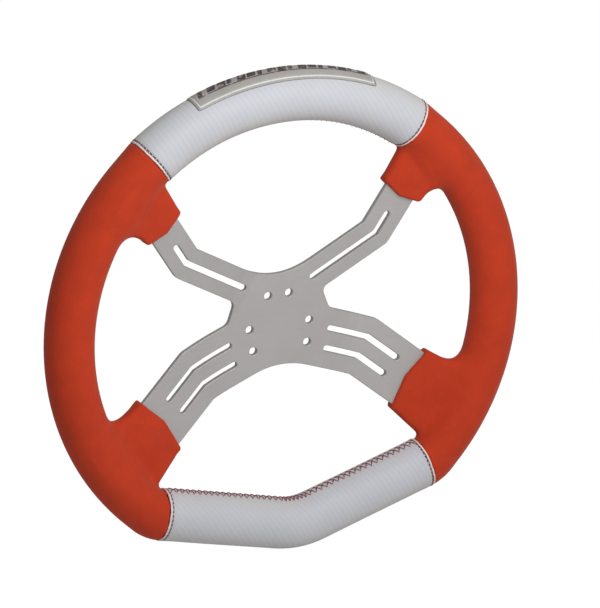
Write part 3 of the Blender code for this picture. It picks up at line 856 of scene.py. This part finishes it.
def subdivided(points, faces):
    obj = new_object("work", new_mesh("work", points, faces))
    obj.modifiers.new("subdivision", "SUBSURF").levels = 1
    finer = evaluated_mesh(obj)
    bpy.data.objects.remove(obj)
    return mesh_points(finer), np.array([tuple(face.vertices) for face in finer.polygons])


def evaluated_mesh(obj):
    bpy.context.view_layer.update()
    return bpy.data.meshes.new_from_object(obj.evaluated_get(bpy.context.evaluated_depsgraph_get()))


def mesh_points(mesh):
    points = np.empty(len(mesh.vertices) * 3)
    mesh.vertices.foreach_get("co", points)
    return points.reshape(-1, 3)


def swollen(points, faces):
    """The cover after its foam has pushed it out, by a cloth simulation with the rim held still."""
    obj = new_object("swelling", new_mesh("swelling", points, faces))
    nearest = np.minimum(*[pad_distance(spoke, points)[0] for spoke in (UPPER_SPOKE, LOWER_SPOKE)])
    held = obj.vertex_groups.new(name="held")
    for i in np.flatnonzero(nearest > SWELL_FREE):
        held.add([int(i)], 1.0, "REPLACE")
    cloth = obj.modifiers.new("cloth", "CLOTH")
    cloth.settings.use_pressure = True
    cloth.settings.uniform_pressure_force = SWELL_PRESSURE
    cloth.settings.vertex_group_mass = "held"
    cloth.settings.effector_weights.gravity = 0
    for number in range(1, SWELL_FRAMES + 1):
        bpy.context.scene.frame_set(number)
    result = mesh_points(evaluated_mesh(obj))
    bpy.context.scene.frame_set(1)
    bpy.data.objects.remove(obj)
    moved = result - points
    far = np.linalg.norm(moved, axis=1)
    return points + moved * np.minimum(1, SWELL_LIMIT / np.maximum(far, 1e-9))[:, None]


def cut_by(obj, cutter):
    modifier = obj.modifiers.new("cut", "BOOLEAN")
    modifier.operation = "DIFFERENCE"
    modifier.solver = "EXACT"
    modifier.object = cutter


def plate_cutter():
    """The space that the covers leave round the spoke plate."""
    edit = bmesh.new()
    edit.from_mesh(frame["nodes"]["spoke_plate"].data)
    bmesh.ops.remove_doubles(edit, verts=edit.verts, dist=1e-6)
    bmesh.ops.recalc_face_normals(edit, faces=edit.faces)
    edit.normal_update()
    for vertex, normal in [(vertex, vertex.normal.copy()) for vertex in edit.verts]:
        vertex.co += normal * PLATE_CLEARANCE
    mesh = bpy.data.meshes.new("plate_cutter")
    edit.to_mesh(mesh)
    edit.free()
    return mesh


def make_suede_covers(material):
    start = LOWER_JOINT_LENGTH + JOINT_HALF_WIDTH
    end = UPPER_JOINT_LENGTH - JOINT_HALF_WIDTH
    low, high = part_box("suede_cover_right")
    low, high = np.array(low) - SUEDE_MARGIN, np.array(high) + SUEDE_MARGIN
    distance = suede_distance(start, end, FLARE)
    points, faces = surface_of(distance, low, high, SUEDE_STEP)
    points = settle(distance, relaxed(settle(distance, points, 2), faces))
    fine_points, fine_faces = subdivided(points, faces)
    settled = settle(distance, fine_points, 2)
    settled += subdivided(swollen(points, faces), faces)[0] - fine_points
    skin = new_mesh("suede_skin", settled, fine_faces)
    outward_normals(skin)
    whole = suede_distance(start - CORE_OVERRUN, end + CORE_OVERRUN)

    def inner(points):
        return whole(points) + SKIN_THICKNESS

    core_points, core_faces = surface_of(inner, low - CORE_MARGIN, high + CORE_MARGIN, CORE_STEP)
    core_mesh = new_mesh("suede_core", settle(inner, core_points, 2), core_faces)
    outward_normals(core_mesh)
    cutters = [new_object(mesh.name, mesh) for mesh in (core_mesh, plate_cutter())]
    body = new_object("suede_body", skin)
    for cutter in cutters:
        cut_by(body, cutter)
    mesh = evaluated_mesh(body)
    for obj in (*cutters, body):
        bpy.data.objects.remove(obj)
    left = mirrored_mesh(mesh, "suede_left")
    add_piece("suede_grip_right", mesh, material, ("suede_cover_right",))
    add_piece("suede_grip_left", left, material, ("suede_cover_left",))


# Vinyl covers


def seam_angles(seam):
    """Section angles from the seam once round to it, closer together near it."""
    far = np.linspace(FAR_FROM_SEAM, 2 * math.pi - FAR_FROM_SEAM, FAR_COLUMNS)
    return seam + np.concatenate((COLUMNS_BY_SEAM, far, 2 * math.pi - COLUMNS_BY_SEAM[:0:-1]))


def vinyl_radii(lengths, angles, start, end, seam):
    """The cover's outer surface: rolled ends, a stitch line beside each joint and a laced seam."""
    to_end = np.minimum(lengths - start, end - lengths)
    into_roll = np.maximum(VINYL_ROLL - to_end, 0)
    drop = VINYL_ROLL - np.sqrt(np.maximum(VINYL_ROLL**2 - into_roll**2, 0))
    off_seam = np.abs(around(angles, seam)) * VINYL_RADIUS
    radii = VINYL_RADIUS - drop + relief(to_end, JOINT_GROOVE) + relief(to_end, JOINT_PUFF)
    radii = radii + relief(off_seam, SEAM_GROOVE) + relief(off_seam, SEAM_PUFF)
    count = cross_stitch_count(start, end)
    pitch = cross_stitch_pitch(start, end)
    cell = (lengths - start - JOINT_STITCH_INSET) / pitch
    off_hole = np.abs(cell - np.clip(np.round(cell), 0, count)) * pitch
    hole = LACING_HALF_ANGLE * VINYL_RADIUS
    waves = np.sin(lengths * 52 + 1.3) * np.sin(angles * 2 + lengths * 31)
    return radii + relief(np.hypot(off_seam - hole, off_hole), HOLE_DIMPLE) + SLACK * waves


def cross_stitch_count(start, end):
    return round((end - start - 2 * JOINT_STITCH_INSET) / LACING_PITCH)


def cross_stitch_pitch(start, end):
    return (end - start - 2 * JOINT_STITCH_INSET) / cross_stitch_count(start, end)


def make_vinyl_cover(name, node, start, end, seam, material):
    start += JOINT_HALF_WIDTH
    end -= JOINT_HALF_WIDTH
    angles = seam_angles(seam)
    close = ROWS_BY_JOINT
    count = round((end - start - 2 * close[-1]) / ROW_STEP)
    body = np.linspace(start + close[-1], end - close[-1], count)
    outer = np.concatenate((start + close[:-1], body, end - close[-2::-1]))
    inner = outer[::-3]
    lengths = np.concatenate((outer, inner))
    radii = vinyl_radii(outer[:, None], angles[None, :], start, end, seam)
    inner_radii = np.full((len(inner), len(angles)), VINYL_RADIUS - VINYL_THICKNESS)
    radii = np.concatenate((radii, inner_radii))
    # The first and last angle are the same place, so one column of points serves both.
    points = on_section(lengths[:, None], angles[None, :-1], radii[:, :-1])
    columns = len(angles) - 1
    faces = grid_faces(len(lengths), columns, close_rows=True)
    mesh = new_mesh(name, points, faces)
    row = faces // columns
    column = faces % columns
    column = np.where((column == 0) & (faces[:, :1] % columns == columns - 1), columns, column)
    centres, outwards = rim_at(lengths[row])
    unrolled = VINYL_RADIUS * (2.5 * math.pi - angles[column])
    flat = centres + outwards * unrolled[..., None]
    set_cloth_coordinates(mesh, np.stack((flat[..., 0], flat[..., 1], np.zeros(faces.shape)), -1))
    outward_normals(mesh)
    add_piece(name, mesh, material, (node,))


# Cords, threads and stitches


def make_piping(name, node, length, material):
    turns = np.linspace(0, 2 * math.pi, PIPING_STEPS, endpoint=False)
    section = np.linspace(0, 2 * math.pi, PIPING_SIDES, endpoint=False)
    wander = 0.00012 * np.sin(5 * turns + length * 90) + 0.00005 * np.sin(17 * turns)
    swell = 1 + 0.05 * np.sin(23 * turns + 2)
    radius = PIPING_RADIUS * swell[:, None]
    lengths = length + wander[:, None] + radius * np.sin(section)[None, :]
    radii = PIPING_PATH_RADIUS + radius * np.cos(section)[None, :]
    points = on_section(lengths, turns[:, None], radii)
    mesh = new_mesh(name, points, grid_faces(PIPING_STEPS, PIPING_SIDES, close_rows=True))
    outward_normals(mesh)
    add_piece(name, mesh, material, (node,))


def stitch_path(lengths, angles, surface, dive, height, count=9):
    """One stitch between two places, given as (from, to) pairs, rising out of its holes."""
    share = np.linspace(0, 1, count)
    length = lengths[0] + (lengths[1] - lengths[0]) * share
    angle = angles[0] + (angles[1] - angles[0]) * share
    lift = height - (height + dive) * np.abs(2 * share - 1) ** 5
    return on_section(length, angle, surface + lift)


def make_joint_stitches(name, node, length, vinyl_side, material):
    place = length + vinyl_side * JOINT_STITCH_INSET
    count = round(2 * math.pi * VINYL_RADIUS / JOINT_STITCH_PITCH)
    step = 2 * math.pi / count
    paths = []
    for i in range(count):
        first = step * (i + (1 - JOINT_STITCH_SHARE) / 2)
        slant = JOINT_STITCH_SLANT * (1 if i % 2 else -1)
        angles = (first, first + JOINT_STITCH_SHARE * step)
        paths.append(stitch_path((place - slant, place + slant), angles, VINYL_RADIUS,
                                 JOINT_STITCH_DIVE, JOINT_STITCH_HEIGHT))
    strands(name, paths, JOINT_THREAD_RADIUS, material, (node,))


def make_lacing(name, node, start, end, seam, material):
    start += JOINT_HALF_WIDTH
    end -= JOINT_HALF_WIDTH
    pitch = cross_stitch_pitch(start, end)
    half = LACING_HALF_ANGLE
    paths = []
    for i in range(cross_stitch_count(start, end)):
        first = start + JOINT_STITCH_INSET + i * pitch
        for height, sign in zip(LACING_HEIGHTS, (1, -1)):
            paths.append(stitch_path((first, first + pitch), (seam - sign * half, seam + sign * half),
                                     VINYL_RADIUS, LACING_DIVE, height, LACING_POINTS))
    strands(name, paths, LACING_THREAD_RADIUS, material, (node,))


def make_rear_stitches(name, node, side, material):
    start = LOWER_JOINT_LENGTH + REAR_SEAM_MARGIN
    end = UPPER_JOINT_LENGTH - REAR_SEAM_MARGIN
    count = round((end - start) / REAR_STITCH_PITCH)
    step = (end - start) / count
    paths = []
    for i in range(count):
        first = start + (i + (1 - REAR_STITCH_SHARE) / 2) * step
        lengths = (side * first, side * (first + REAR_STITCH_SHARE * step))
        paths.append(stitch_path(lengths, (REAR_SEAM_ANGLE, REAR_SEAM_ANGLE), SUEDE_RADIUS,
                                 REAR_STITCH_DIVE, REAR_STITCH_HEIGHT))
    strands(name, paths, THREAD_RADIUS, material, (node,))


# Badge


def block(upper, lower):
    """The points and quads of a solid between two grids of points."""
    index = np.arange(upper.shape[0] * upper.shape[1]).reshape(upper.shape[:2])
    quads = np.stack((index[:-1, :-1], index[1:, :-1], index[1:, 1:], index[:-1, 1:]), -1).reshape(-1, 4)
    edge = np.concatenate((index[:, 0], index[-1, 1:], index[-2::-1, -1], index[0, -2:0:-1]))
    beside = np.roll(edge, -1)
    wall = np.stack((edge, beside, beside + index.size, edge + index.size), -1)
    faces = np.concatenate((quads, quads[:, ::-1] + index.size, wall))
    return np.concatenate((upper.reshape(-1, 3), lower.reshape(-1, 3))), faces


def badge_grid(inset, bend):
    """A grid over a rounded rectangle: the places right and up from the badge's middle, and the
    distance of each inside the outline."""
    half_length = BADGE_HALF_LENGTH - inset
    half_width = BADGE_HALF_WIDTH - inset
    steps = (np.linspace(-1, 1, 90) * half_length, np.linspace(-1, 1, 22) * half_width)
    right, up = np.meshgrid(*steps, indexing="ij")
    over_right = np.maximum(np.abs(right) - (half_length - bend), 0)
    over_up = np.maximum(np.abs(up) - (half_width - bend), 0)
    reach = np.hypot(over_right, over_up)
    shrink = np.where(reach > 0, np.maximum(over_right, over_up) / np.maximum(reach, 1e-9), 1.0)
    right = np.sign(right) * (np.abs(right) - over_right + over_right * shrink)
    up = np.sign(up) * (np.abs(up) - over_up + over_up * shrink)
    inside = np.minimum(half_length - np.abs(right), half_width - np.abs(up))
    return right, up, np.minimum(inside, bend - np.hypot(over_right * shrink, over_up * shrink))


def on_badge(right, up, height):
    """Places at a height over the top cover, from the badge's middle."""
    angles = BADGE_MIDDLE_ANGLE - up / VINYL_RADIUS
    return on_section(HALF_LENGTH - right, angles, VINYL_RADIUS + height)


def make_slab(name, slab, material, replaced=()):
    """A slab of the badge between two heights, with a rounded edge."""
    inset, (bottom, top), edge, bend = slab
    right, up, inside = badge_grid(inset, bend)
    inside = np.clip(inside, 0, edge)
    rounding = edge - np.sqrt(np.maximum(edge**2 - (edge - inside) ** 2, 0))
    upper = on_badge(right, up, top - rounding * (top - bottom) / edge)
    edit = bmesh.new()
    edit.from_mesh(new_mesh(name, *block(upper, on_badge(right, up, bottom))))
    bmesh.ops.remove_doubles(edit, verts=edit.verts, dist=2e-6)
    bmesh.ops.dissolve_degenerate(edit, edges=edit.edges, dist=1e-7)
    bmesh.ops.recalc_face_normals(edit, faces=edit.faces)
    mesh = bpy.data.meshes.new(name)
    edit.to_mesh(mesh)
    edit.free()
    add_piece(name, mesh, material, replaced)


def badge_bar(left, right, low, high):
    """The points and quads of a slanted bar."""
    columns = max(2, round((right - left) / 0.003) + 1)
    across = np.linspace(left, right, columns)[:, None]
    up = np.linspace(low, high, 9)[None, :]
    across = across + BADGE_BAR_SLANT * (up - low)
    lower, upper = (on_badge(across, up, height) for height in BADGE_BAR_HEIGHTS)
    return block(upper, lower)


def make_badge_bars(material):
    """A generic row of slanted bars over a line, printed thickly on the badge."""
    half_width = BADGE_HALF_WIDTH - BADGE_INSET
    half_length = BADGE_HALF_LENGTH - BADGE_INSET - BADGE_BAR_MARGIN
    pitch = 2 * half_length / BADGE_BARS
    bars = []
    for i in range(BADGE_BARS):
        left = -half_length + i * pitch
        width = pitch * (0.8 if i % 3 else 0.42)
        foot = -half_width * (0.02 if i % 2 else 0.1)
        bars.append(badge_bar(left, left + width, foot, half_width * 0.9))
    bars.append(badge_bar(-half_length, half_length, -half_width * 0.24, -half_width * 0.15))
    points = []
    faces = []
    for bar_points, bar_faces in bars:
        faces.extend((bar_faces + len(points)).tolist())
        points.extend(bar_points.tolist())
    mesh = new_mesh("badge_bars", points, faces)
    outward_normals(mesh)
    piece = add_piece("badge_bars", mesh, material)
    piece.data.shade_flat()


def make_badge(border_material, field_material, print_material):
    make_slab("badge_backing", BACKING_SLAB, field_material, ("badge_base",))
    make_slab("badge_border", BORDER_SLAB, border_material)
    make_slab("badge_field", FIELD_SLAB, field_material, ("badge_inlay",))
    make_badge_bars(print_material)


# Stage


def add_floor():
    corners = [(x * FLOOR_SIZE, y * FLOOR_SIZE, 0) for x, y in ((-1, -1), (1, -1), (1, 1), (-1, 1))]
    mesh = new_mesh("floor", corners, [(0, 1, 2, 3)])
    floor = new_object("floor", mesh)
    floor.location.z = CAD_BOX[0][2] - FLOOR_GAP
    mesh.materials.append(floor_material())


def floor_material():
    """Pale paper, which the camera sees nearly white."""
    inputs = {"Roughness": 0.9, "Specular IOR Level": 0.05}
    material, tree, shader = new_material("pale_floor", inputs)
    fibres = noise(tree, 40, 3)
    paper = ramp(tree, fibres, (0.3, FLOOR_DARK), (0.7, FLOOR_LIGHT))
    tree.links.new(paper, shader.inputs["Base Color"])
    glow = add_node(tree, "Emission", {"Color": (*WHITE, 1), "Strength": FLOOR_GLOW})
    seen = add_node(tree, "LightPath").outputs["Is Camera Ray"]
    share = times(tree, seen, FLOOR_GLOW_SHARE)
    blend = add_node(tree, "MixShader", {0: share, 1: shader.outputs[0], 2: glow.outputs[0]})
    tree.links.new(blend.outputs[0], tree.nodes["Material Output"].inputs["Surface"])
    return material


def add_key_light():
    """A soft round light that points at the wheel and isn't seen itself."""
    light = bpy.data.lights.new("key", "AREA")
    light.shape = "DISK"
    light.size = KEY_SIZE
    light.energy = KEY_POWER
    key = new_object("key", light)
    key.location = KEY_PLACE
    key.visible_camera = False
    key.rotation_euler = (-Vector(KEY_PLACE)).to_track_quat("-Z", "Y").to_euler()


def add_sky():
    world = bpy.data.worlds.new("studio")
    bpy.context.scene.world = world
    world.use_nodes = True
    background = world.node_tree.nodes["Background"]
    background.inputs["Color"].default_value = (*SKY_COLOUR, 1)
    background.inputs["Strength"].default_value = SKY_STRENGTH


def add_camera():
    data = bpy.data.cameras.new("camera")
    data.sensor_width = CAMERA_SENSOR
    data.lens = CAMERA_LENS
    camera = new_object("camera", data)
    upright = Matrix.Rotation(math.pi / 2 - CAMERA_ELEVATION, 4, "X")
    turn = Matrix.Rotation(-CAMERA_AZIMUTH, 4, "Z") @ upright
    back = Matrix.Translation((0, 0, CAMERA_DISTANCE)) @ Matrix.Rotation(-CAMERA_ROLL, 4, "Z")
    camera.matrix_world = Matrix.Translation(CAMERA_TARGET) @ turn @ back
    bpy.context.scene.camera = camera


def give_material(nodes, material):
    for node in nodes:
        data = frame["nodes"][node].data
        data.materials.clear()
        data.materials.append(material)


def corners_named(prefix):
    return [f"{prefix}_{level}_{side}" for level in ("upper", "lower") for side in ("left", "right")]


maroon = thread_material("maroon_thread", THREAD_MAROON)
lacing = thread_material("lacing_thread", LACING_MAROON)
red_thread = thread_material("red_thread", THREAD_RED)
vinyl = vinyl_material()
piping = piping_material()

make_suede_covers(suede_material())
for place_name, cover_ends in VINYL_COVERS.items():
    seam_angle = LACING_ANGLES[place_name]
    make_vinyl_cover(f"vinyl_grip_{place_name}", f"vinyl_cover_{place_name}", *cover_ends, seam_angle, vinyl)
    make_lacing(f"lacing_{place_name}", f"cross_stitch_{place_name}", *cover_ends, seam_angle, lacing)
for level, joint_length, vinyl_way in (("upper", UPPER_JOINT_LENGTH, 1), ("lower", LOWER_JOINT_LENGTH, -1)):
    for side_name, side_sign in (("left", -1), ("right", 1)):
        where = f"{level}_{side_name}"
        make_piping(f"piping_cord_{where}", f"piping_{where}", side_sign * joint_length, piping)
        make_joint_stitches(f"joint_stitches_{where}", f"joint_thread_{where}", side_sign * joint_length,
                            side_sign * vinyl_way, maroon)
for side_name, side_sign in (("left", -1), ("right", 1)):
    make_rear_stitches(f"rear_stitches_{side_name}", f"rear_seam_thread_{side_name}", side_sign, red_thread)
make_badge(
    badge_material("badge_silver", BADGE_SILVER, 0.55),
    badge_material("badge_field", BADGE_GREY, 0.6),
    badge_print_material(),
)
give_material(("spoke_plate",), plate_material())
give_material(("rim_hoop", *corners_named("weld_bead")), hoop_material())
give_material(("foam_rim",), foam_material())

add_floor()
add_sky()
add_key_light()
add_camera()
bpy.context.scene.view_settings.view_transform = "Standard"
